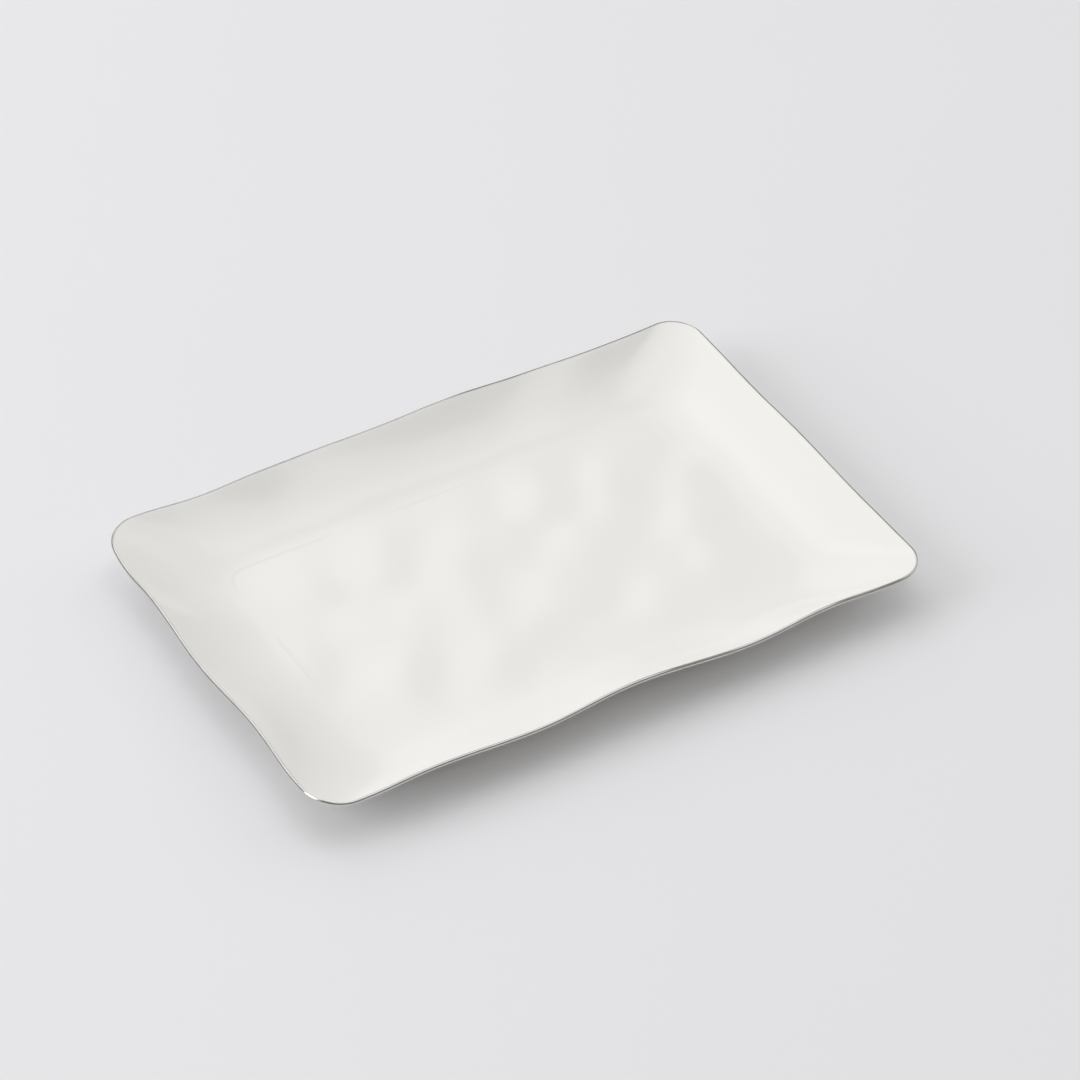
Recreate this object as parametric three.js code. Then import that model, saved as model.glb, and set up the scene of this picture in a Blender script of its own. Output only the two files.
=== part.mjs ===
// A wavy-edged porcelain serving platter, in millimetres, +Z up.
// The platter is a thin shell: a flat oblong floor, a wall that curls up and out from it all round,
// and a half-round lip. A band of silver-coloured metal wraps the lip, and an unglazed foot ring
// stands under the edge of the floor.
// Origin: on the table, under the middle of the platter's footprint.
import * as THREE from "three";

// ---- Overall sizes -------------------------------------------------------------------------
const LENGTH = 450; // along X over the silver band, before the hand-formed waves
const WIDTH = 308; // along Y, likewise
const CORNER_RADIUS = 26; // of the lip's outer edge, in plan
const RIM_HEIGHT = 30.5; // table to the middle of the lip, before the waves

// ---- Floor, wall and lip -------------------------------------------------------------------
const WELL_LENGTH = 322; // floor, measured to the crease where the wall begins
const WELL_WIDTH = 190;
const WELL_CORNER_RADIUS = 12;
const FLOOR_THICKNESS = 4.4;
const LIP_THICKNESS = 2.4; // porcelain at the lip; the wall tapers to it from the floor
const WALL_CORNER_RADIUS = 38; // half way up the wall
const WALL_CURL = 1.9; // power of the wall's rise: 1 is a straight flare, more curls up later
const CREASE_RIDGE = 0.16; // the soft ridge that frames the floor, on the inside only
const CREASE_RIDGE_WIDTH = 4; // from the crease in to the flat of the floor
const CREASE_RIDGE_TOE = 0.33; // share of its height left half way across its width
const CREASE_RIDGE_FADE = 0.2; // share of the wall over which the ridge dies away
const SMALLEST_CORNER = 1; // of any ring set in from the crease

// ---- Silver band ---------------------------------------------------------------------------
const BAND_THICKNESS = 0.2;
const BAND_GAP = 0.15; // keeps the band's flats clear of the lip's

// ---- Foot ring -----------------------------------------------------------------------------
const FOOT_HEIGHT = 4.2; // table to the flat underside
const FOOT_SET_BACK = 7; // from the crease in to the middle of the foot
const FOOT_ROOT_WIDTH = 6; // where it meets the underside
const FOOT_TREAD_WIDTH = 3; // what stands on the table
const FOOT_TREAD_ROUND = 0.8; // the softened arris beside the tread

// ---- Fineness ------------------------------------------------------------------------------
const CORNER_STEPS = 8; // stations round each corner
const LONG_SIDE_STEPS = 30; // stations along each long side
const SHORT_SIDE_STEPS = 20;
const LIP_STEPS = 5; // flats round the half-round lip
const BAND_FIRST_STEP = 1; // the band starts this many flats over the lip from the inside
const WALL_SHARES = [0, 0.1, 0.22, 0.38, 0.54, 0.7, 0.86, 1]; // crease to lip

const SLOPE_STEP = 0.01; // share of the wall over which its slope is measured

// ---- Waves of the rim ----------------------------------------------------------------------
// Each crest or hollow of the hand-formed rim: where it is along its side, from -1 at one corner's
// middle to 1 at the next, towards +X or +Y, and how far the lip is pushed out and lifted there.
const WAVES = {
  right: [
    [-0.97, 0.2, 0], [-0.8, -0.3, -0.4], [-0.42, -0.5, -0.7], [0.06, 0.2, 0.2],
    [0.37, -0.3, -0.5], [0.75, 0.1, 0.2],
  ],
  back: [
    [0.98, 0.9, 0.2], [0.86, -1.2, -0.4], [0.68, -1.9, -0.4], [0.46, 0.6, -1.2],
    [0.18, -0.1, 2.5], [-0.1, -0.3, 0.4], [-0.28, 1.2, -0.7], [-0.48, -0.9, 0.6],
    [-0.68, -1.5, -1.4], [-0.9, 0.3, 0.7],
  ],
  left: [
    [0.93, -0.6, 0], [0.72, 1, -1.6], [0.52, 0, 0], [0.05, 1.8, -2.4],
    [-0.46, -0.8, 1], [-0.76, 0.5, -0.8], [-0.95, -0.5, 0.4],
  ],
  front: [
    [-0.88, 0.2, -0.6], [-0.66, -0.6, 1.1], [-0.32, 0.8, -1.5], [0, -1.4, 2.6],
    [0.4, 1.1, -2], [0.67, -0.8, 1.4], [0.88, 0, -0.3],
  ],
};

// ---- Sizes that follow ---------------------------------------------------------------------
const lipRadius = LIP_THICKNESS / 2;
const bandInnerRadius = lipRadius + BAND_GAP;
const bandOuterRadius = bandInnerRadius + BAND_THICKNESS;
const lipInset = bandOuterRadius; // outer edge in to the lip's centre line
const floorMiddleZ = FOOT_HEIGHT + FLOOR_THICKNESS / 2;
const wallRise = RIM_HEIGHT - floorMiddleZ;
const middleRadius = (WELL_CORNER_RADIUS + CORNER_RADIUS - lipInset) / 2;

// Going round anticlockwise: each side's name, the way it faces, and the way its stations run.
const SIDES = [
  { name: "back", facing: 90, steps: LONG_SIDE_STEPS, forward: -1 },
  { name: "left", facing: 180, steps: SHORT_SIDE_STEPS, forward: -1 },
  { name: "front", facing: 270, steps: LONG_SIDE_STEPS, forward: 1 },
  { name: "right", facing: 360, steps: SHORT_SIDE_STEPS, forward: 1 },
];

// The stations round the platter: on a side, a share from -1 to 1 along its straight part;
// in a corner, the angle that the outline faces.
function makeStations() {
  const stations = [];
  for (const side of SIDES) {
    for (let i = 0; i <= side.steps; i++)
      stations.push({ side, facing: side.facing, along: (2 * i) / side.steps - 1 });
    for (let i = 1; i < CORNER_STEPS; i++)
      stations.push({ side, facing: side.facing + (90 * i) / CORNER_STEPS, along: 1 });
  }
  for (const station of stations) station.wave = waveAt(rimPosition(station));
  return stations;
}

// A rounded oblong's point at a station, with the direction it faces.
function oblongPoint(length, width, radius, station) {
  const long = station.side.facing % 180 === 90;
  const straight = (long ? length : width) / 2 - radius;
  const across = (long ? width : length) / 2 - radius;
  const sideAngle = THREE.MathUtils.degToRad(station.side.facing);
  const facing = THREE.MathUtils.degToRad(station.facing);
  const out = new THREE.Vector2(Math.cos(sideAngle), Math.sin(sideAngle));
  const travel = new THREE.Vector2(-out.y, out.x);
  const normal = new THREE.Vector2(Math.cos(facing), Math.sin(facing));
  const point = new THREE.Vector2()
    .addScaledVector(out, across)
    .addScaledVector(travel, straight * station.along)
    .addScaledVector(normal, radius);
  return { point, normal };
}

// How far along the whole rim a station is, with each side running from corner middle to
// corner middle as one unit: 0 to 4.
function rimPosition(station) {
  const index = SIDES.indexOf(station.side);
  const long = station.side.facing % 180 === 90;
  const straight = (long ? LENGTH : WIDTH) / 2 - CORNER_RADIUS;
  const halfCorner = (Math.PI / 4) * CORNER_RADIUS;
  const turned = THREE.MathUtils.degToRad(station.facing - station.side.facing);
  const arc = turned * CORNER_RADIUS;
  const half = straight + halfCorner;
  if (arc <= halfCorner) return index + 0.5 + (straight * station.along + arc) / (2 * half);
  const nextStraight = (long ? WIDTH : LENGTH) / 2 - CORNER_RADIUS;
  return index + 1 + (arc - halfCorner) / (2 * (nextStraight + halfCorner));
}

// Every crest and hollow, in order round the rim.
const crests = SIDES.flatMap((side, index) =>
  WAVES[side.name].map(([at, out, up]) => {
    const position = index + 0.5 + (side.forward * at) / 2;
    return { position, out, up };
  }),
).sort((a, b) => a.position - b.position);

// The push out and the lift at a place on the rim, easing from each crest to the next.
function waveAt(position) {
  const lap = (distance) => THREE.MathUtils.euclideanModulo(distance, SIDES.length);
  const next = crests.findIndex((crest) => crest.position > lap(position));
  const after = crests[Math.max(next, 0)];
  const before = crests.at(Math.max(next, 0) - 1);
  const gap = lap(after.position - before.position);
  const into = lap(position - before.position);
  const ease = (1 - Math.cos((Math.PI * into) / gap)) / 2;
  return {
    out: THREE.MathUtils.lerp(before.out, after.out, ease),
    up: THREE.MathUtils.lerp(before.up, after.up, ease),
  };
}

// The middle of the wall's thickness in plan, from 0 at the crease to 1 at the lip's centre. The
// corners are softest half way up.
function wallPlan(station, share) {
  const length = THREE.MathUtils.lerp(WELL_LENGTH, LENGTH - 2 * lipInset, share);
  const width = THREE.MathUtils.lerp(WELL_WIDTH, WIDTH - 2 * lipInset, share);
  const radius = THREE.MathUtils.lerp(WELL_CORNER_RADIUS, CORNER_RADIUS - lipInset, share);
  const softening = 4 * share * (1 - share) * (WALL_CORNER_RADIUS - middleRadius);
  const { point, normal } = oblongPoint(length, width, radius + softening, station);
  return { plan: point.addScaledVector(normal, station.wave.out * share), normal };
}

// The wall's middle in space, with the way it faces outwards in plan and how far it tilts.
function wallMiddle(station, share) {
  const { plan, normal } = wallPlan(station, share);
  const lift = wallRise + station.wave.up;
  const ahead = wallPlan(station, share + SLOPE_STEP).plan;
  const behind = wallPlan(station, share - SLOPE_STEP).plan;
  const run = ahead.sub(behind).dot(normal) / (2 * SLOPE_STEP);
  const tilt = Math.atan((WALL_CURL * lift * share ** (WALL_CURL - 1)) / run);
  return { plan, z: floorMiddleZ + lift * share ** WALL_CURL, normal, tilt };
}

// A point off the wall's middle line: turned 0 is square to the wall on the inside, and half a
// turn later it is square to it on the outside, over the lip.
function offWall(station, share, distance, turned) {
  const middle = wallMiddle(station, share);
  const lean = turned - middle.tilt;
  const plan = middle.plan.addScaledVector(middle.normal, Math.sin(lean) * distance);
  return new THREE.Vector3(plan.x, plan.y, middle.z + Math.cos(lean) * distance);
}

// Half the porcelain's thickness, tapering from the floor to the lip.
function halfThickness(share) {
  return THREE.MathUtils.lerp(FLOOR_THICKNESS, LIP_THICKNESS, share) / 2;
}

// A ring of the floor, inside or underneath, set in from the crease by a distance.
function floorRing(setIn, z) {
  return (station) => {
    const length = WELL_LENGTH - 2 * setIn;
    const width = WELL_WIDTH - 2 * setIn;
    const radius = Math.max(WELL_CORNER_RADIUS - setIn, SMALLEST_CORNER);
    const { point } = oblongPoint(length, width, radius, station);
    return new THREE.Vector3(point.x, point.y, z);
  };
}

// A ring of the wall on one face, with the crease's ridge on the inside face.
function wallRing(share, inside) {
  return (station) => {
    const point = offWall(station, share, halfThickness(share), inside ? 0 : Math.PI);
    const ridgeFade = 1 - THREE.MathUtils.smoothstep(share, 0, CREASE_RIDGE_FADE);
    if (inside) point.z += CREASE_RIDGE * ridgeFade;
    return point;
  };
}

// A ring over the lip, a number of flats from the inside, at the porcelain or on the band.
function lipRing(step, radius) {
  return (station) => offWall(station, 1, radius, (Math.PI * step) / LIP_STEPS);
}

// Turns a row of rings into a closed body: a lathe gives the faces, and each of its vertices then
// moves to its ring's place at its station.
function loft(name, rings, colour, roughness, metalness) {
  const stations = makeStations();
  const section = rings.map((ring, i) => new THREE.Vector2(1, i));
  const geometry = new THREE.LatheGeometry(section, stations.length);
  const position = geometry.getAttribute("position");
  for (let i = 0; i <= stations.length; i++)
    rings.forEach((ring, j) => {
      const point = ring(stations[i % stations.length]);
      position.setXYZ(i * rings.length + j, point.x, point.y, point.z);
    });
  geometry.computeVertexNormals();
  const material = new THREE.MeshStandardMaterial({ color: colour, roughness, metalness });
  const mesh = new THREE.Mesh(geometry, material);
  mesh.name = name;
  return mesh;
}

function porcelainBody() {
  const floorZ = FOOT_HEIGHT + FLOOR_THICKNESS;
  const rings = [() => new THREE.Vector3(0, 0, FOOT_HEIGHT)];
  for (const share of WALL_SHARES) rings.push(wallRing(share, false));
  for (let step = LIP_STEPS - 1; step > 0; step--) rings.push(lipRing(step, lipRadius));
  for (const share of [...WALL_SHARES].reverse()) rings.push(wallRing(share, true));
  rings.push(floorRing(CREASE_RIDGE_WIDTH / 2, floorZ + CREASE_RIDGE * CREASE_RIDGE_TOE));
  rings.push(floorRing(CREASE_RIDGE_WIDTH, floorZ));
  rings.push(() => new THREE.Vector3(0, 0, floorZ));
  return loft("porcelain_body", rings, 0xf1f0ec, 0.12, 0);
}

function silverBand() {
  const outer = [];
  const inner = [];
  for (let step = BAND_FIRST_STEP; step <= LIP_STEPS; step++) {
    outer.push(lipRing(step, bandOuterRadius));
    inner.push(lipRing(step, bandInnerRadius));
  }
  const rings = [...outer.reverse(), ...inner];
  rings.push(rings[0]);
  return loft("silver_rim_band", rings, 0xc9c8c6, 0.15, 1);
}

function footRing() {
  const root = FOOT_ROOT_WIDTH / 2;
  const tread = FOOT_TREAD_WIDTH / 2;
  const rings = [
    floorRing(FOOT_SET_BACK + root, FOOT_HEIGHT),
    floorRing(FOOT_SET_BACK + tread + FOOT_TREAD_ROUND / 2, FOOT_TREAD_ROUND),
    floorRing(FOOT_SET_BACK + tread, 0),
    floorRing(FOOT_SET_BACK - tread, 0),
    floorRing(FOOT_SET_BACK - tread - FOOT_TREAD_ROUND / 2, FOOT_TREAD_ROUND),
    floorRing(FOOT_SET_BACK - root, FOOT_HEIGHT),
  ];
  rings.push(rings[0]);
  return loft("foot_ring", rings, 0xe6e0d4, 0.85, 0);
}

const platter = new THREE.Group();
platter.add(porcelainBody(), silverBand(), footRing());

// The waves are uneven, so the whole is centred over the origin once it is made.
const middle = new THREE.Box3().setFromObject(platter, true).getCenter(new THREE.Vector3());
for (const piece of platter.children) piece.position.set(-middle.x, -middle.y, 0);

export default platter;
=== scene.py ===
# %% [markdown]
# # A porcelain serving platter with a silver edge
#
# This lesson builds the looks of a large oblong platter around a fixed CAD frame. The real one is a
# single piece of white porcelain: a flat floor, a wall that curls up and outwards all round, and a
# lip whose waves were pushed in by hand while the clay was soft. A film of silver-coloured metal is
# brushed round the lip and fired, and a low foot under the floor is left without glaze.
#
# The CAD frame gives every size and place. Blender then makes the fine surface.

# %% Load the frame
import math

import bmesh
import bpy
import numpy as np
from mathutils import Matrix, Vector


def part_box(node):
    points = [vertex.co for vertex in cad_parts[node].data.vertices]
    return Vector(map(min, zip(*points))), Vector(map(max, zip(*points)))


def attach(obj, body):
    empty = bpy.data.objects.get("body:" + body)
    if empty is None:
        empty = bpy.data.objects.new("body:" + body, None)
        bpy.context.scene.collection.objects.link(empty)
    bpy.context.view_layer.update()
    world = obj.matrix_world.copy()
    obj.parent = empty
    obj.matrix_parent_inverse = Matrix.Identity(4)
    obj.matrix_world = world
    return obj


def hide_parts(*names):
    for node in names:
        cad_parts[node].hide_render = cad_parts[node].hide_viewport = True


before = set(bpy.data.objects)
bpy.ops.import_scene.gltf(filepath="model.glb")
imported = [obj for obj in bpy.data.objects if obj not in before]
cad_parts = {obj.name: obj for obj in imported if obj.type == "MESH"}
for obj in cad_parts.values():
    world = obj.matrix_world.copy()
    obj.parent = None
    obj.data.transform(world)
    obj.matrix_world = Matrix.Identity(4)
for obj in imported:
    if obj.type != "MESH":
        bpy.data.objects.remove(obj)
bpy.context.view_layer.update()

MM = 0.001

# %% [markdown]
# ## The camera
#
# A small object is shot with a long lens from a few metres away, so its sides stay nearly parallel.
# The camera looks down from the front left at the middle height of the rim. The platter isn't quite
# in the middle of the frame, and moving the camera sideways and up gives that without a lens shift.

# %% Camera
CAMERA_AZIMUTH = math.radians(-30.52)
CAMERA_ELEVATION = math.radians(41.09)
CAMERA_DISTANCE = 2.984
CAMERA_RIGHT = 0.0181
CAMERA_UP = 0.0054
LENS_MM = 153.3
SENSOR_MM = 36.0
# How far the highest wave of the rim stands above its middle height.
RIM_WAVE = 2.6 * MM

rim_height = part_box("silver_rim_band")[1][2] - RIM_WAVE
back = Vector((
    math.sin(CAMERA_AZIMUTH) * math.cos(CAMERA_ELEVATION),
    -math.cos(CAMERA_AZIMUTH) * math.cos(CAMERA_ELEVATION),
    math.sin(CAMERA_ELEVATION),
))
right = Vector((math.cos(CAMERA_AZIMUTH), math.sin(CAMERA_AZIMUTH), 0.0))
up = back.cross(right)

camera_data = bpy.data.cameras.new("camera")
camera_data.lens = LENS_MM
camera_data.sensor_width = SENSOR_MM
camera = bpy.data.objects.new("camera", camera_data)
bpy.context.scene.collection.objects.link(camera)
camera.location = Vector((0, 0, rim_height)) + back * CAMERA_DISTANCE
camera.location += right * CAMERA_RIGHT + up * CAMERA_UP
camera.rotation_mode = "QUATERNION"
camera.rotation_quaternion = (-back).to_track_quat("-Z", "Y")
bpy.context.scene.camera = camera
print("camera at", [round(v, 3) for v in camera.location])

# %% [markdown]
# ## Colours and nodes
#
# Colours are written as the hex values a paint program shows, and Blender's shaders want linear
# light, so one function turns one into the other. A second function adds any node with its settings
# and its links, which keeps each material below to a short list of steps.

# %% Colour and node helpers
def linear(hex_colour):
    """An sRGB hex colour as linear red, green, blue and alpha, by the usual sRGB curve."""
    values = [int(hex_colour[i:i + 2], 16) / 255 for i in (1, 3, 5)]
    straight = [v / 12.92 if v <= 0.04045 else ((v + 0.055) / 1.055) ** 2.4 for v in values]
    return (*straight, 1.0)


def add_node(tree, kind, settings=None, **inputs):
    """Adds a node and fills its inputs, each with a value or a link from an output socket.

    An input is given by its name, with _ for a space, or by its number, as i0 or i7.
    """
    node = tree.nodes.new(kind)
    for name, value in (settings or {}).items():
        setattr(node, name, value)
    for name, value in inputs.items():
        key = int(name[1:]) if name[0] == "i" and name[1:].isdigit() else name.replace("_", " ")
        if isinstance(value, bpy.types.NodeSocket):
            tree.links.new(value, node.inputs[key])
        else:
            node.inputs[key].default_value = value
    return node


def new_material(name):
    """An empty material with a Principled shader. Returns the material, its tree and the shader."""
    material = bpy.data.materials.new(name)
    material.use_nodes = True
    tree = material.node_tree
    return material, tree, tree.nodes["Principled BSDF"]

# %% [markdown]
# ## White glaze on porcelain
#
# Feldspathic glaze melts to a clear glass over the white body. The eye reads it by its sharp, faint
# reflections, by a warm white that is never quite even, and by a slow ripple where the glass pooled.
# Shade in the crease round the floor is painted into its colour as a faint grey line that comes
# and goes, darkest at the left and the back. The shell below carries an attribute that says where.

# %% Glaze
GLAZE_IOR = 1.5
GLAZE_ROUGHNESS = (0.15, 0.21)
CLOUD_MM = 60.0
RIPPLE_MM = 7.0
RIPPLE_DEPTH_MM = 0.02
RIPPLE_STRENGTH = 0.25
# Iron specks stand a few millimetres apart, and each is a small share of that across.
SPECK_MM = 3.0
SPECK_SHARE = 0.06
SPECK_STRENGTH = 0.10
# The painted crease shade starts at this value of the attribute, and comes and goes with the cloud.
CREASE_SHADE_EDGE = 0.5
CREASE_SHADE_DEPTH = 0.22
CREASE_SHADE_CLOUD = (0.38, 0.6)


def white_glaze():
    """Clear glaze on a warm white body, with specks, a slow ripple and a grey line of painted shade in
    the crease.
    """
    material, tree, shader = new_material("feldspathic_glaze_dipped")
    place = add_node(tree, "ShaderNodeTexCoord").outputs["Object"]
    cloud = add_node(tree, "ShaderNodeTexNoise", Vector=place, Scale=1 / (CLOUD_MM * MM),
                     Detail=2.0).outputs["Fac"]
    tint = add_node(tree, "ShaderNodeMix", {"data_type": "RGBA"}, i0=cloud,
                    i6=linear("#ECEBE7"), i7=linear("#EFEEEB"))
    speck = add_node(tree, "ShaderNodeTexVoronoi", Vector=place, Scale=1 / (SPECK_MM * MM))
    is_speck = add_node(tree, "ShaderNodeMapRange", Value=speck.outputs["Distance"],
                        From_Max=SPECK_SHARE, To_Min=SPECK_STRENGTH, To_Max=0.0)
    specked = add_node(tree, "ShaderNodeMix", {"data_type": "RGBA"}, i0=is_speck.outputs["Result"],
                       i6=tint.outputs[2], i7=linear("#D8D2C6"))
    # Painted shade: a grey line laid into the colour along the crease round the floor.
    on_line = add_node(tree, "ShaderNodeAttribute", {"attribute_name": "glaze_pool"}).outputs["Fac"]
    line = add_node(tree, "ShaderNodeMapRange", Value=on_line, From_Min=CREASE_SHADE_EDGE,
                    To_Max=CREASE_SHADE_DEPTH)
    patchy = add_node(tree, "ShaderNodeMapRange", Value=cloud, From_Min=CREASE_SHADE_CLOUD[0],
                      From_Max=CREASE_SHADE_CLOUD[1])
    crease_shade = add_node(tree, "ShaderNodeMath", {"operation": "MULTIPLY"}, i0=line.outputs["Result"],
                    i1=patchy.outputs["Result"])
    colour = add_node(tree, "ShaderNodeMix", {"data_type": "RGBA"}, i0=crease_shade.outputs[0],
                      i6=specked.outputs[2], i7=linear("#CFCDC7"))
    ripple = add_node(tree, "ShaderNodeTexNoise", Vector=place, Scale=1 / (RIPPLE_MM * MM), Detail=1.0)
    gloss = add_node(tree, "ShaderNodeMapRange", Value=cloud, To_Min=GLAZE_ROUGHNESS[0],
                     To_Max=GLAZE_ROUGHNESS[1])
    bump = add_node(tree, "ShaderNodeBump", Height=ripple.outputs["Fac"], Strength=RIPPLE_STRENGTH,
                    Distance=RIPPLE_DEPTH_MM * MM)
    tree.links.new(colour.outputs[2], shader.inputs["Base Color"])
    tree.links.new(gloss.outputs["Result"], shader.inputs["Roughness"])
    tree.links.new(bump.outputs["Normal"], shader.inputs["Normal"])
    shader.inputs["IOR"].default_value = GLAZE_IOR
    return material

# %% [markdown]
# ## Silver-coloured lustre
#
# Liquid bright metal is brushed on over the glaze and fired to a film a few thousandths of a
# millimetre thick. The eye reads it by its sharp mirror of the room, by the slightly thinner and
# greyer patches, and by fine drag marks of the brush. Those are about a tenth of a millimetre wide
# on the real edge, and are drawn coarser here so that they show.

# %% Lustre
STROKE_MM = 0.35
STROKE_DEPTH_MM = 0.02
STROKE_STRENGTH = 0.15
THIN_PATCH_MM = 9.0
LUSTRE_ROUGHNESS = (0.05, 0.14)


def silver_lustre():
    """A bright metal film with uneven patches and the drag marks of the brush."""
    material, tree, shader = new_material("silver_lustre_brushed_on")
    place = add_node(tree, "ShaderNodeTexCoord").outputs["Object"]
    patch = add_node(tree, "ShaderNodeTexNoise", Vector=place, Scale=1 / (THIN_PATCH_MM * MM),
                     Detail=3.0)
    colour = add_node(tree, "ShaderNodeMix", {"data_type": "RGBA"}, i0=patch.outputs["Fac"],
                      i6=linear("#D0CDC9"), i7=linear("#E6E4E1"))
    stroke = add_node(tree, "ShaderNodeTexNoise", Vector=place, Scale=1 / (STROKE_MM * MM), Detail=2.0)
    gloss = add_node(tree, "ShaderNodeMapRange", Value=stroke.outputs["Fac"],
                     To_Min=LUSTRE_ROUGHNESS[0], To_Max=LUSTRE_ROUGHNESS[1])
    bump = add_node(tree, "ShaderNodeBump", Height=stroke.outputs["Fac"], Strength=STROKE_STRENGTH,
                    Distance=STROKE_DEPTH_MM * MM)
    tree.links.new(colour.outputs[2], shader.inputs["Base Color"])
    tree.links.new(gloss.outputs["Result"], shader.inputs["Roughness"])
    tree.links.new(bump.outputs["Normal"], shader.inputs["Normal"])
    shader.inputs["Metallic"].default_value = 1.0
    return material

# %% [markdown]
# ## Bare porcelain
#
# The tread of the foot is wiped clean of glaze before firing, or the platter would weld itself to
# the kiln shelf, and is then ground flat. Bare porcelain is matt, warmer than the glaze, and finely
# grained like a sugar cube. That grain is a few hundredths of a millimetre across, and is drawn
# coarser here so that it shows. The glaze stops on the side of the foot in a wandering line.

# %% Bare porcelain
GRAIN_MM = 0.4
GRAIN_DEPTH_MM = 0.05
STAIN_MM = 18.0
# The glaze ends at this height above the table. The line wanders, is soft, and drifts slowly.
GLAZE_LINE_MM = 1.4
GLAZE_LINE_WANDER_MM = 1.2
GLAZE_LINE_SOFT_MM = 0.15
GLAZE_LINE_DRIFT_MM = 14.0
# Each pair is the value on bare clay, then on glaze.
FOOT_ROUGHNESS = (0.75, 0.14)
FOOT_GRAIN_STRENGTH = (0.6, 0.05)


def bare_porcelain():
    """Ground, unglazed clay low down, and the edge of the glaze above it."""
    material, tree, shader = new_material("porcelain_bisque_ground")
    place = add_node(tree, "ShaderNodeTexCoord").outputs["Object"]
    height = add_node(tree, "ShaderNodeSeparateXYZ", Vector=place).outputs["Z"]
    drift = add_node(tree, "ShaderNodeTexNoise", Vector=place, Scale=1 / (GLAZE_LINE_DRIFT_MM * MM),
                     Detail=2.0)
    line = add_node(tree, "ShaderNodeMath", {"operation": "MULTIPLY_ADD"}, i0=drift.outputs["Fac"],
                    i1=GLAZE_LINE_WANDER_MM * MM, i2=height)
    start = (GLAZE_LINE_MM + GLAZE_LINE_WANDER_MM / 2) * MM
    glazed = add_node(tree, "ShaderNodeMapRange", Value=line.outputs[0], From_Min=start,
                      From_Max=start + GLAZE_LINE_SOFT_MM * MM).outputs["Result"]
    stain = add_node(tree, "ShaderNodeTexNoise", Vector=place, Scale=1 / (STAIN_MM * MM), Detail=4.0)
    bare = add_node(tree, "ShaderNodeMix", {"data_type": "RGBA"}, i0=stain.outputs["Fac"],
                    i6=linear("#D3CABB"), i7=linear("#E6E0D4"))
    colour = add_node(tree, "ShaderNodeMix", {"data_type": "RGBA"}, i0=glazed, i6=bare.outputs[2],
                      i7=linear("#ECECE8"))
    gloss = add_node(tree, "ShaderNodeMapRange", Value=glazed, To_Min=FOOT_ROUGHNESS[0],
                     To_Max=FOOT_ROUGHNESS[1])
    grain = add_node(tree, "ShaderNodeTexNoise", Vector=place, Scale=1 / (GRAIN_MM * MM), Detail=3.0)
    strength = add_node(tree, "ShaderNodeMapRange", Value=glazed, To_Min=FOOT_GRAIN_STRENGTH[0],
                        To_Max=FOOT_GRAIN_STRENGTH[1])
    bump = add_node(tree, "ShaderNodeBump", Height=grain.outputs["Fac"],
                    Strength=strength.outputs["Result"], Distance=GRAIN_DEPTH_MM * MM)
    tree.links.new(colour.outputs[2], shader.inputs["Base Color"])
    tree.links.new(gloss.outputs["Result"], shader.inputs["Roughness"])
    tree.links.new(bump.outputs["Normal"], shader.inputs["Normal"])
    return material

# %% [markdown]
# ## Reading the rings of the CAD shell
#
# The CAD shell is a row of rings, each with the same number of stations, from the middle of the
# underside, over the lip, to the middle of the floor. Blender needs even four-sided faces for a
# smooth surface, so the rings are read back from the triangles and laid again as quads. The lowest
# vertex with very many edges is the middle of the underside, and a ring is every vertex that is the
# same number of edges away from it.

# %% Rings
SAME_POINT = 0.002 * MM


def read_rings(node):
    """The rings of a capped CAD shell as one array: ring, station, then x, y, z."""
    mesh = bmesh.new()
    mesh.from_mesh(node.data)
    bmesh.ops.remove_doubles(mesh, verts=mesh.verts, dist=SAME_POINT)
    poles = sorted(mesh.verts, key=lambda v: len(v.link_edges))[-2:]
    start = min(poles, key=lambda v: v.co.z)
    seen = {start}
    level = [start]
    rings = []
    while level:
        level = list({e.other_vert(v) for v in level for e in v.link_edges} - seen)
        seen.update(level)
        rings.append(np.array([v.co[:] for v in level]))
    mesh.free()
    rings = [ring for ring in rings if len(ring) > 1]
    middle = rings[0].mean(axis=0)
    ordered = [in_order(rings[0], middle, None)]
    for ring in rings[1:]:
        ordered.append(in_order(ring, middle, ordered[-1]))
    return np.array(ordered)


def in_order(ring, middle, before):
    """A ring's vertices anticlockwise, starting beside the ring before's first."""
    angle = np.arctan2(ring[:, 1] - middle[1], ring[:, 0] - middle[0])
    ring = ring[np.argsort(angle)]
    if before is None:
        return ring
    turned = [np.roll(ring, k, axis=0) for k in range(len(ring))]
    misses = [np.linalg.norm(choice - before, axis=1).sum() for choice in turned]
    return turned[int(np.argmin(misses))]


rings = read_rings(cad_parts["porcelain_body"])
print("rings and stations:", rings.shape[:2])

# %% [markdown]
# ## Laying the shell in quads
#
# Neighbouring rings are joined station by station, which gives long bands of quads round the wall
# and the lip. A flat panel closes the shell above and below. A fan of triangles to one middle point
# would pinch, so each panel is a grid: its border is the last ring, cut at the four corners, and its
# inside is blended from the border and then relaxed until the quads are even.

# %% Grid panel
RELAX_STEPS = 300


def corner_stations(ring):
    """The station in the middle of each corner, anticlockwise from the corner at -X, -Y."""
    middle = ring.mean(axis=0)
    diagonals = [(-1, -1), (1, -1), (1, 1), (-1, 1)]
    return [int(np.argmax((ring[:, :2] - middle[:2]) @ np.array(d))) for d in diagonals]


def border_run(count, first, last):
    """Station numbers going anticlockwise from first to last."""
    return [(first + i) % count for i in range((last - first) % count + 1)]


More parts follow.
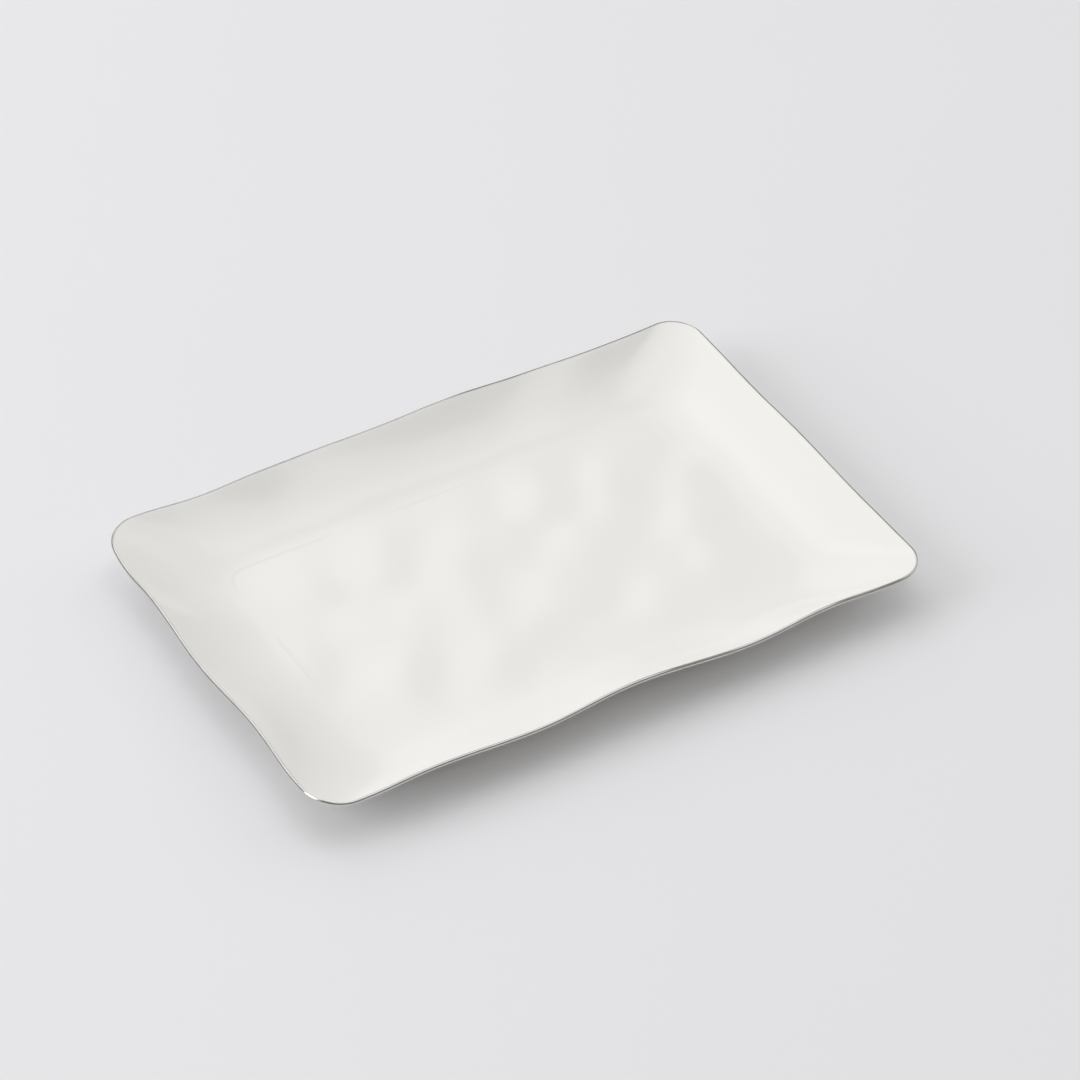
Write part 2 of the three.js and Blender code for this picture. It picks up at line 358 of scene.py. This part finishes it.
def panel_points(ring):
    """A grid of points that fills a ring, with the station number of each border point."""
    c0, c1, c2, c3 = corner_stations(ring)
    count = len(ring)
    low, high = border_run(count, c0, c1), border_run(count, c2, c3)[::-1]
    start, end = border_run(count, c3, c0)[::-1], border_run(count, c1, c2)
    across = np.linspace(0, 1, len(low))[:, None, None]
    along = np.linspace(0, 1, len(start))[None, :, None]
    grid = (1 - along) * ring[low][:, None] + along * ring[high][:, None]
    grid = grid + (1 - across) * ring[start][None] + across * ring[end][None]
    grid -= (1 - across) * ((1 - along) * ring[c0] + along * ring[c3])
    grid -= across * ((1 - along) * ring[c1] + along * ring[c2])
    for _ in range(RELAX_STEPS):
        inside = grid[:-2, 1:-1] + grid[2:, 1:-1] + grid[1:-1, :-2] + grid[1:-1, 2:]
        grid[1:-1, 1:-1] = inside / 4
    border = {}
    for i in range(len(low)):
        border[i, 0], border[i, len(start) - 1] = low[i], high[i]
    for j in range(len(start)):
        border[0, j], border[len(low) - 1, j] = start[j], end[j]
    return grid, border

# %% Lofting
def loft_faces(ring_count, station_count, closed):
    """Quads between neighbouring rings; a closed loft joins the last ring to the first."""
    faces = []
    for r in range(ring_count if closed else ring_count - 1):
        near, far = r * station_count, (r + 1) % ring_count * station_count
        for s in range(station_count):
            t = (s + 1) % station_count
            faces.append((near + s, near + t, far + t, far + s))
    return faces


def panel_faces(points, faces, ring, first_vertex, facing_up):
    """Adds a grid panel inside a ring whose vertices start at first_vertex."""
    grid, border = panel_points(ring)
    number = np.zeros(grid.shape[:2], int)
    for i in range(grid.shape[0]):
        for j in range(grid.shape[1]):
            if (i, j) in border:
                number[i, j] = first_vertex + border[i, j]
            else:
                number[i, j] = len(points)
                points.append(tuple(grid[i, j]))
    for i in range(grid.shape[0] - 1):
        for j in range(grid.shape[1] - 1):
            face = (number[i, j], number[i + 1, j], number[i + 1, j + 1], number[i, j + 1])
            faces.append(face if facing_up else face[::-1])


def new_object(name, points, faces):
    """A smooth-shaded mesh object at the origin."""
    mesh = bpy.data.meshes.new(name)
    corners = [tuple(map(float, p)) for p in points]
    mesh.from_pydata(corners, [], [tuple(map(int, f)) for f in faces])
    mesh.polygons.foreach_set("use_smooth", [True] * len(mesh.polygons))
    mesh.update()
    thing = bpy.data.objects.new(name, mesh)
    bpy.context.scene.collection.objects.link(thing)
    return thing


ring_count, station_count = rings.shape[:2]
points = [tuple(p) for ring in rings for p in ring]
faces = loft_faces(ring_count, station_count, closed=False)
panel_faces(points, faces, rings[0], 0, facing_up=False)
panel_faces(points, faces, rings[-1], (ring_count - 1) * station_count, facing_up=True)
body = new_object("glazed_body", points, faces)
print("body quads:", len(faces))

# %% [markdown]
# ## Marks on the shell
#
# Two numbers are kept at every vertex for later steps. One says how far a press may move it: not at
# all outside and at the lip, and fully inside. The other says how much painted shade darkens it: up
# to 1 on the crease between the wall and the floor, most at the left and the back, where the shade
# falls, and 0 elsewhere. Painting them by hand would work, but the ring numbers already say where
# everything is.

# %% Soft clay and painted crease shade
FIRST_INSIDE_RING = 12
INSIDE_SOFTNESS = [0.0, 0.5, 1.0]
CREASE_RING = 19
# The painted shade in the crease is this strong all round, and stronger towards the left and the back.
CREASE_SHADE_EVERYWHERE = 0.4


def mark(thing, name, values):
    """Keeps one number for each vertex of an object."""
    attribute = thing.data.attributes.new(name, "FLOAT", "POINT")
    attribute.data.foreach_set("value", values)


def ring_vertices(ring):
    """The slice of vertices that make up a ring."""
    return slice(ring * station_count, (ring + 1) * station_count)


softness = np.zeros(len(points))
for step, value in enumerate(INSIDE_SOFTNESS):
    softness[ring_vertices(FIRST_INSIDE_RING + step)] = value
for ring in range(FIRST_INSIDE_RING + len(INSIDE_SOFTNESS), ring_count):
    softness[ring_vertices(ring)] = 1.0
panel_size = (len(points) - ring_count * station_count) // 2
softness[len(points) - panel_size:] = 1.0
mark(body, "soft_clay", softness)

# Painted shade: the crease line is darkest at the left and the back, where the shade falls.
crease = rings[CREASE_RING][:, :2]
from_middle = crease - crease.mean(axis=0)
from_middle = from_middle / np.abs(from_middle).max(axis=0)
shaded_side = (from_middle[:, 1] - from_middle[:, 0]) / 2
crease_shade = np.zeros(len(points))
crease_shade[ring_vertices(CREASE_RING)] = np.clip(shaded_side + CREASE_SHADE_EVERYWHERE, 0, 1)
mark(body, "glaze_pool", crease_shade)
print("vertices that a press can move:", int((softness > 0).sum()))

# %% [markdown]
# ## Pressing the soft clay
#
# The floor isn't flat. Hands pressed it against the mould, and each press left a patch a few
# centimetres wide that leans by a few degrees. Sculpting would do it, but a Geometry Nodes tree is
# easier to adjust: it smooths the shell, then a repeat zone visits each press in turn and tips or
# dents the surface around it. The presses are points of a small helper mesh, and each carries its
# slopes and its dent.

# %% Presses
PRESS_WIDTH = 15 * MM
PRESS_LEAN = math.radians(4.8)
PRESS_DENT = 0.85 * MM
# Presses lean towards the windows, each a little to one side or the other.
LIGHT_SIDE = math.radians(130)
SIDE_SPREAD = 0.35
SIDE_STEP = 2.4
# Middle of each press in mm, how strongly it leans towards the light side, or away with a minus,
# and how deep it dents.
PRESSES = [
    (-139, 74, 0.9, 0), (-79, 70, 0.9, 0), (-23, 50, 0.9, 0), (41, 62, 1, 0),
    (97, 62, 1.1, 0), (45, 18, 1, 0), (-119, 14, 0.8, 0), (-75, 8, 0.9, 0),
    (-47, -10, 0.7, 0), (3, -18, 0.8, 0), (-115, -30, 0.9, 0), (-59, -50, 0.7, 0),
    (65, -58, 1, 0), (117, -6, 1.2, 0), (117, -40, 1, 0), (149, 38, 1.2, 0),
    (-110, 40, -0.9, 0), (-60, 38, -0.9, 0), (65, 46, -0.8, 0), (109, 26, -0.8, 0),
    (77, -10, -0.9, 0), (33, -50, -0.8, 0), (0, -58, -0.7, 0), (-39, -74, -0.8, 0),
    (-99, -62, -1, 0), (141, -26, -0.6, 0), (130, -66, -0.6, 0), (-151, -26, -1, 0),
    (15, 15, -0.4, 0), (-20, 15, -0.4, 0), (-140, 4, -0.6, 0),
    (-190, -12, 0, -1), (-192, -88, 0, 0.6), (-192, 88, 0, 0.6),
]
# The back wall was pressed too: how far along it in mm, and how deep, or out again with a minus.
# Each of these presses is made twice, low and high on the wall.
BACK_WALL_PRESSES = [(-105, 0.6), (-55, -0.5), (5, 0.5), (35, 0.5), (96, -0.5), (158, 0.6)]
BACK_WALL_ROWS = [108, 134]
PRESSES += [(x, y, 0, dent) for x, dent in BACK_WALL_PRESSES for y in BACK_WALL_ROWS]


def press_points():
    """A helper object with one vertex for each press. Its lean holds two slopes, then the dent."""
    mesh = bpy.data.meshes.new("presses")
    mesh.from_pydata([(x * MM, y * MM, 0.0) for x, y, _, _ in PRESSES], [], [])
    lean = mesh.attributes.new("lean", "FLOAT_VECTOR", "POINT")
    for i, (_, _, strength, dent) in enumerate(PRESSES):
        side = LIGHT_SIDE + SIDE_SPREAD * math.sin(SIDE_STEP * i)
        slope = -math.tan(PRESS_LEAN) * strength
        lean.data[i].vector = (slope * math.cos(side), slope * math.sin(side), -PRESS_DENT * dent)
    helper = bpy.data.objects.new("presses", mesh)
    bpy.context.scene.collection.objects.link(helper)
    return helper

# %% [markdown]
# At a distance d from a press, its effect fades as exp(-(d / width)^2 / 2), a bell curve. The height
# it adds there is the slopes times the way from the press, plus the dent. One dot product gives
# that sum, because the dent is the third number of the lean and the third number of the way is 1.

# %% The press tree
def add_socket(tree, name, kind, in_out="INPUT"):
    """Adds a named input or output to a tree."""
    return tree.interface.new_socket(name, in_out=in_out, socket_type=kind)


def press_tree():
    """Smooths a shell and tips its upper face around each press."""
    tree = bpy.data.node_groups.new("hand_pressed_surface", "GeometryNodeTree")
    add_socket(tree, "Geometry", "NodeSocketGeometry")
    add_socket(tree, "Geometry", "NodeSocketGeometry", "OUTPUT")
    add_socket(tree, "Presses", "NodeSocketObject")
    add_socket(tree, "Press Width", "NodeSocketFloat")
    add_socket(tree, "Smoothing Levels", "NodeSocketInt")
    add_socket(tree, "Material", "NodeSocketMaterial")
    source = add_node(tree, "NodeGroupInput").outputs
    smooth = add_node(tree, "GeometryNodeSubdivisionSurface", i0=source["Geometry"],
                      Level=source["Smoothing Levels"])
    helper = add_node(tree, "GeometryNodeObjectInfo", {"transform_space": "RELATIVE"},
                      Object=source["Presses"])
    size = add_node(tree, "GeometryNodeAttributeDomainSize", {"component": "MESH"},
                    Geometry=helper.outputs["Geometry"])
    place = add_node(tree, "GeometryNodeInputPosition").outputs["Position"]

    begin = add_node(tree, "GeometryNodeRepeatInput")
    end = add_node(tree, "GeometryNodeRepeatOutput")
    begin.pair_with_output(end)
    end.repeat_items.clear()
    end.repeat_items.new("FLOAT", "Height")
    tree.links.new(size.outputs["Point Count"], begin.inputs["Iterations"])
    turn = begin.outputs["Iteration"]
    at = add_node(tree, "GeometryNodeSampleIndex", {"data_type": "FLOAT_VECTOR"},
                  i0=helper.outputs["Geometry"], Value=place, Index=turn)
    lean_name = add_node(tree, "GeometryNodeInputNamedAttribute", {"data_type": "FLOAT_VECTOR"},
                         Name="lean")
    lean = add_node(tree, "GeometryNodeSampleIndex", {"data_type": "FLOAT_VECTOR"},
                    i0=helper.outputs["Geometry"], Value=lean_name.outputs["Attribute"], Index=turn)
    away = add_node(tree, "ShaderNodeVectorMath", {"operation": "SUBTRACT"}, i0=place,
                    i1=at.outputs["Value"])
    flat = add_node(tree, "ShaderNodeVectorMath", {"operation": "MULTIPLY"}, i0=away.outputs[0],
                    i1=(1, 1, 0))
    far = add_node(tree, "ShaderNodeVectorMath", {"operation": "LENGTH"}, i0=flat.outputs[0])
    share = add_node(tree, "ShaderNodeMath", {"operation": "DIVIDE"}, i0=far.outputs["Value"],
                     i1=source["Press Width"])
    square = add_node(tree, "ShaderNodeMath", {"operation": "POWER"}, i0=share.outputs[0], i1=2.0)
    negative = add_node(tree, "ShaderNodeMath", {"operation": "MULTIPLY"}, i0=square.outputs[0],
                        i1=-0.5)
    fade = add_node(tree, "ShaderNodeMath", {"operation": "EXPONENT"}, i0=negative.outputs[0])
    way_and_one = add_node(tree, "ShaderNodeVectorMath", {"operation": "ADD"}, i0=flat.outputs[0],
                           i1=(0, 0, 1))
    tip = add_node(tree, "ShaderNodeVectorMath", {"operation": "DOT_PRODUCT"},
                   i0=way_and_one.outputs[0], i1=lean.outputs["Value"])
    height = add_node(tree, "ShaderNodeMath", {"operation": "MULTIPLY_ADD"}, i0=tip.outputs["Value"],
                      i1=fade.outputs[0], i2=begin.outputs["Height"])
    tree.links.new(height.outputs[0], end.inputs["Height"])

    soft_clay = add_node(tree, "GeometryNodeInputNamedAttribute", {"data_type": "FLOAT"},
                         Name="soft_clay")
    lift = add_node(tree, "ShaderNodeMath", {"operation": "MULTIPLY"}, i0=end.outputs["Height"],
                    i1=soft_clay.outputs["Attribute"])
    offset = add_node(tree, "ShaderNodeCombineXYZ", Z=lift.outputs[0])
    moved = add_node(tree, "GeometryNodeSetPosition", Geometry=smooth.outputs[0],
                     Offset=offset.outputs[0])
    soft = add_node(tree, "GeometryNodeSetShadeSmooth", i0=moved.outputs[0])
    real = add_node(tree, "GeometryNodeRealizeInstances", i0=soft.outputs[0])
    done = add_node(tree, "GeometryNodeSetMaterial", i0=real.outputs[0], Material=source["Material"])
    add_node(tree, "NodeGroupOutput", Geometry=done.outputs[0])
    return tree

# %% [markdown]
# A modifier finds a tree's inputs by identifier, not by name, so one function looks each name up. The
# result is then made a plain mesh and the modifier goes, because the export wants real faces.

# %% Applying a tree
def apply_tree(thing, tree, **inputs):
    """Runs a Geometry Nodes tree on an object and keeps the result as its plain mesh."""
    modifier = thing.modifiers.new(tree.name, "NODES")
    modifier.node_group = tree
    for item in tree.interface.items_tree:
        name = item.name.replace(" ", "_")
        if item.in_out == "INPUT" and name in inputs:
            modifier[item.identifier] = inputs[name]
    bpy.context.view_layer.update()
    evaluated = thing.evaluated_get(bpy.context.evaluated_depsgraph_get())
    mesh = bpy.data.meshes.new_from_object(evaluated)
    mesh.name = thing.name
    thing.modifiers.remove(modifier)
    thing.data = mesh
    print(thing.name, "has", len(mesh.polygons), "faces")
    return thing


presses = press_points()
apply_tree(body, press_tree(), Presses=presses, Press_Width=PRESS_WIDTH, Smoothing_Levels=2,
           Material=white_glaze())
bpy.data.objects.remove(presses)
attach(body, "root")
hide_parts("porcelain_body")

# %% [markdown]
# ## The silver band
#
# The band hugs the lip from just inside its crown, over the top and down its outer side. It was
# painted freehand, so its two edges wander. It could be a curve with a round bevel, but the lip
# leans differently at every station, so its section is laid out from the lip itself: the middle of
# the lip, the way towards the inside face and the way out of the crown. The angles below start at
# the inside face, pass the crown at 90 degrees and reach the outside face at 180.

# %% Silver band
BAND_RADIUS = 1.45 * MM
BAND_FILM = 0.25 * MM
BAND_START = math.radians(26)
BAND_END = math.radians(172)
BAND_WANDER = math.radians(7)
BAND_FLATS = 12
START_SEED, END_SEED = 1.7, 4.1
OUTSIDE_LIP, INSIDE_LIP = 7, 12
# A hand tremor as waves round the rim: how many, and how high.
TREMOR = [(11, 0.5), (23, 0.3), (41, 0.25)]


def unit(vectors):
    """Vectors of the same direction and length 1."""
    return vectors / np.linalg.norm(vectors, axis=-1, keepdims=True)


def wander(count, seed):
    """A hand tremor round the rim, about -1 to 1, that meets itself."""
    turn = np.linspace(0, 2 * math.pi, count, endpoint=False)
    return sum(size * np.sin(k * turn + seed * k) for k, size in TREMOR)


def silver_band():
    """A thin closed skin along the lip: out along its outer face and back along its inner one."""
    centre = (rings[OUTSIDE_LIP] + rings[INSIDE_LIP]) / 2
    inward = unit(rings[INSIDE_LIP] - rings[OUTSIDE_LIP])
    crown = rings[OUTSIDE_LIP + 1:INSIDE_LIP].mean(axis=0) - centre
    outward = unit(crown - (crown * inward).sum(axis=1, keepdims=True) * inward)
    start = BAND_START + BAND_WANDER * wander(station_count, START_SEED)
    end = BAND_END + BAND_WANDER * wander(station_count, END_SEED)
    over = [(BAND_RADIUS, step) for step in range(BAND_FLATS, -1, -1)]
    under = [(BAND_RADIUS - BAND_FILM, step) for step in range(BAND_FLATS + 1)]
    loops = []
    for radius, step in over + under:
        angle = (start + (end - start) * step / BAND_FLATS)[:, None]
        loops.append(centre + radius * (np.cos(angle) * inward + np.sin(angle) * outward))
    points = [p for loop in loops for p in loop]
    band = new_object("silver_band", points, loft_faces(len(loops), station_count, closed=True))
    band.data.materials.append(silver_lustre())
    smooth = band.modifiers.new("smooth", "SUBSURF")
    smooth.levels = smooth.render_levels = 2
    return band


band = silver_band()
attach(band, "root")
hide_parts("silver_rim_band")
print("band faces:", len(band.data.polygons))

# %% [markdown]
# ## The foot ring
#
# A low rounded-oblong ring lifts the platter off the table. Its path is a plain outline and its
# section stays the same, so a Geometry Nodes tree sweeps the section along the outline. The section
# is wide at the root and narrow at the tread, with soft arrises, as a wiped and ground foot is. A
# turned ring would not do, because this foot has long straight sides.

# %% Foot ring
FOOT_CORNER = 5 * MM
FOOT_ROOT = 5.7 * MM
FOOT_TREAD = 3.4 * MM
FOOT_ARRIS = 0.6 * MM
# How far the root reaches up into the body, and how far the hand moved the ring off its path.
FOOT_BEDDED = 0.3 * MM
FOOT_WOBBLE = 0.25 * MM
WOBBLE_LENGTH = 22 * MM
PATH_STEP = 2 * MM
CORNER_STEPS = 10
ARRIS_STEPS = 4


def foot_tree():
    """Sweeps a soft-edged trapezium round a rounded-oblong path."""
    tree = bpy.data.node_groups.new("swept_foot_ring", "GeometryNodeTree")
    add_socket(tree, "Geometry", "NodeSocketGeometry")
    add_socket(tree, "Geometry", "NodeSocketGeometry", "OUTPUT")
    for name in ("Length", "Width", "Corner", "Height", "Root", "Tread", "Arris", "Wobble"):
        add_socket(tree, name, "NodeSocketFloat")
    add_socket(tree, "Middle", "NodeSocketVector")
    add_socket(tree, "Material", "NodeSocketMaterial")
    source = add_node(tree, "NodeGroupInput").outputs
    outline = add_node(tree, "GeometryNodeCurvePrimitiveQuadrilateral", Width=source["Length"],
                       Height=source["Width"])
    bent = add_node(tree, "GeometryNodeFilletCurve", {"mode": "POLY"}, i0=outline.outputs[0],
                    Count=CORNER_STEPS, Radius=source["Corner"])
    even = add_node(tree, "GeometryNodeResampleCurve", {"mode": "LENGTH"}, i0=bent.outputs[0],
                    Length=PATH_STEP)
    upright = add_node(tree, "GeometryNodeSetCurveNormal", {"mode": "Z_UP"}, i0=even.outputs[0])
    section = add_node(tree, "GeometryNodeCurvePrimitiveQuadrilateral", {"mode": "TRAPEZOID"},
                       Height=source["Height"], Bottom_Width=source["Root"], Top_Width=source["Tread"],
                       Offset=0.0)
    soft = add_node(tree, "GeometryNodeFilletCurve", {"mode": "POLY"}, i0=section.outputs[0],
                    Count=ARRIS_STEPS, Radius=source["Arris"])
    swept = add_node(tree, "GeometryNodeCurveToMesh", Curve=upright.outputs[0],
                     Profile_Curve=soft.outputs[0])
    hand = add_node(tree, "ShaderNodeTexNoise", Scale=1 / WOBBLE_LENGTH, Detail=1.0)
    centred = add_node(tree, "ShaderNodeVectorMath", {"operation": "SUBTRACT"},
                       i0=hand.outputs["Color"], i1=(0.5, 0.5, 0.5))
    sideways = add_node(tree, "ShaderNodeVectorMath", {"operation": "MULTIPLY"}, i0=centred.outputs[0],
                        i1=(1, 1, 0))
    shift = add_node(tree, "ShaderNodeVectorMath", {"operation": "SCALE"}, i0=sideways.outputs[0],
                     Scale=source["Wobble"])
    moved = add_node(tree, "GeometryNodeSetPosition", Geometry=swept.outputs[0],
                     Offset=shift.outputs[0])
    placed = add_node(tree, "GeometryNodeTransform", Geometry=moved.outputs[0],
                      Translation=source["Middle"])
    smooth = add_node(tree, "GeometryNodeSetShadeSmooth", i0=placed.outputs[0])
    real = add_node(tree, "GeometryNodeRealizeInstances", i0=smooth.outputs[0])
    done = add_node(tree, "GeometryNodeSetMaterial", i0=real.outputs[0], Material=source["Material"])
    add_node(tree, "NodeGroupOutput", Geometry=done.outputs[0])
    return tree


foot_low, foot_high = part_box("foot_ring")
foot_size = foot_high - foot_low
foot_height = foot_size.z + FOOT_BEDDED
foot_middle = (foot_low + foot_high) / 2
foot_middle.z = foot_low.z + foot_height / 2
foot_start = new_object("bare_foot", [(0, 0, 0)], [])
foot = apply_tree(foot_start, foot_tree(), Length=foot_size.x - FOOT_ROOT - FOOT_WOBBLE,
                  Width=foot_size.y - FOOT_ROOT - FOOT_WOBBLE, Corner=FOOT_CORNER, Height=foot_height,
                  Root=FOOT_ROOT, Tread=FOOT_TREAD, Arris=FOOT_ARRIS, Wobble=FOOT_WOBBLE,
                  Middle=foot_middle, Material=bare_porcelain())
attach(foot, "root")
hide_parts("foot_ring")

# %% [markdown]
# ## The table and the light
#
# White porcelain on a pale table needs soft light that still has a direction. Most of it comes from
# tall windows on the left, round to the back, with one soft box over the platter and a reflector on
# the right that lifts the shadows. Each is a rectangle of light aimed at the platter.
#
# The room around is dimmer at the front, and dimmer still in reflections, as if dark curtains hung
# round the set. A metal edge shows only what it mirrors, so the curtains draw its dark lines.

# %% Table
TABLE_HALF = 6.0
TABLE_CLOUD = 2.0
TABLE_ROUGHNESS = 0.6


def plain_table():
    """A large matt table top that the foot stands on."""
    material, tree, shader = new_material("painted_table_matt")
    place = add_node(tree, "ShaderNodeTexCoord").outputs["Object"]
    cloud = add_node(tree, "ShaderNodeTexNoise", Vector=place, Scale=TABLE_CLOUD, Detail=2.0)
    colour = add_node(tree, "ShaderNodeMix", {"data_type": "RGBA"}, i0=cloud.outputs["Fac"],
                      i6=linear("#E5E5E7"), i7=linear("#E7E7E9"))
    tree.links.new(colour.outputs[2], shader.inputs["Base Color"])
    shader.inputs["Roughness"].default_value = TABLE_ROUGHNESS
    low, high = -TABLE_HALF, TABLE_HALF
    corners = [(low, low, 0), (high, low, 0), (high, high, 0), (low, high, 0)]
    table = new_object("table", corners, [(0, 1, 2, 3)])
    table.data.materials.append(material)


plain_table()

# %% Soft boxes
WINDOW_WHITE = "#FAFBFF"
LIGHT_DISTANCE = 4.5
# Name, azimuth and elevation in degrees, width and height in metres, power in watts.
SOFT_BOXES = [
    ("key_window", 166, 28, 2.6, 2.8, 78.0),
    ("key_side", 120, 55, 3.8, 3.2, 33.0),
    ("back_panel", 80, 30, 2.4, 4.4, 17.0),
    ("right_reflector", 0, 36, 4.2, 3.6, 26.0),
    ("overhead", 0, 80, 3.0, 3.0, 29.5),
]


def soft_light(name, azimuth, elevation, width, height, power):
    """An upright soft box aimed at the platter. Azimuth is anticlockwise from +X, in degrees."""
    a, e = math.radians(azimuth), math.radians(elevation)
    direction = Vector((math.cos(a) * math.cos(e), math.sin(a) * math.cos(e), math.sin(e)))
    data = bpy.data.lights.new(name, "AREA")
    data.shape = "RECTANGLE"
    data.size = width
    data.size_y = height
    data.energy = power
    data.color = linear(WINDOW_WHITE)[:3]
    light = bpy.data.objects.new(name, data)
    bpy.context.scene.collection.objects.link(light)
    light.location = direction * LIGHT_DISTANCE
    light.rotation_mode = "QUATERNION"
    light.rotation_quaternion = direction.to_track_quat("Z", "Y")


for box in SOFT_BOXES:
    soft_light(*box)
print("soft boxes:", len(SOFT_BOXES))

# %% Room
ROOM_WHITE = "#FFFEFA"
ROOM_BACK = math.radians(60)
ROOM_LIGHT_FRONT = 0.415
ROOM_LIGHT_BACK = 0.61
CURTAINED = 0.5


def dim_room():
    """Even light from all round, weaker from the front, and weaker again where it is mirrored."""
    world = bpy.data.worlds.new("room")
    world.use_nodes = True
    tree = world.node_tree
    background = tree.nodes["Background"]
    background.inputs["Color"].default_value = linear(ROOM_WHITE)
    direction = add_node(tree, "ShaderNodeTexCoord").outputs["Generated"]
    towards_back = (math.cos(ROOM_BACK), math.sin(ROOM_BACK), 0)
    share = add_node(tree, "ShaderNodeVectorMath", {"operation": "DOT_PRODUCT"}, i0=direction,
                     i1=towards_back)
    strength = add_node(tree, "ShaderNodeMapRange", Value=share.outputs["Value"], From_Min=-1.0,
                        To_Min=ROOM_LIGHT_FRONT, To_Max=ROOM_LIGHT_BACK)
    mirrored = add_node(tree, "ShaderNodeLightPath").outputs["Is Glossy Ray"]
    curtain = add_node(tree, "ShaderNodeMapRange", Value=mirrored, To_Min=1.0, To_Max=CURTAINED)
    seen = add_node(tree, "ShaderNodeMath", {"operation": "MULTIPLY"}, i0=strength.outputs["Result"],
                    i1=curtain.outputs["Result"])
    tree.links.new(seen.outputs[0], background.inputs["Strength"])
    bpy.context.scene.world = world


dim_room()
bpy.context.scene.view_settings.view_transform = "Standard"
bpy.context.scene.view_settings.look = "None"
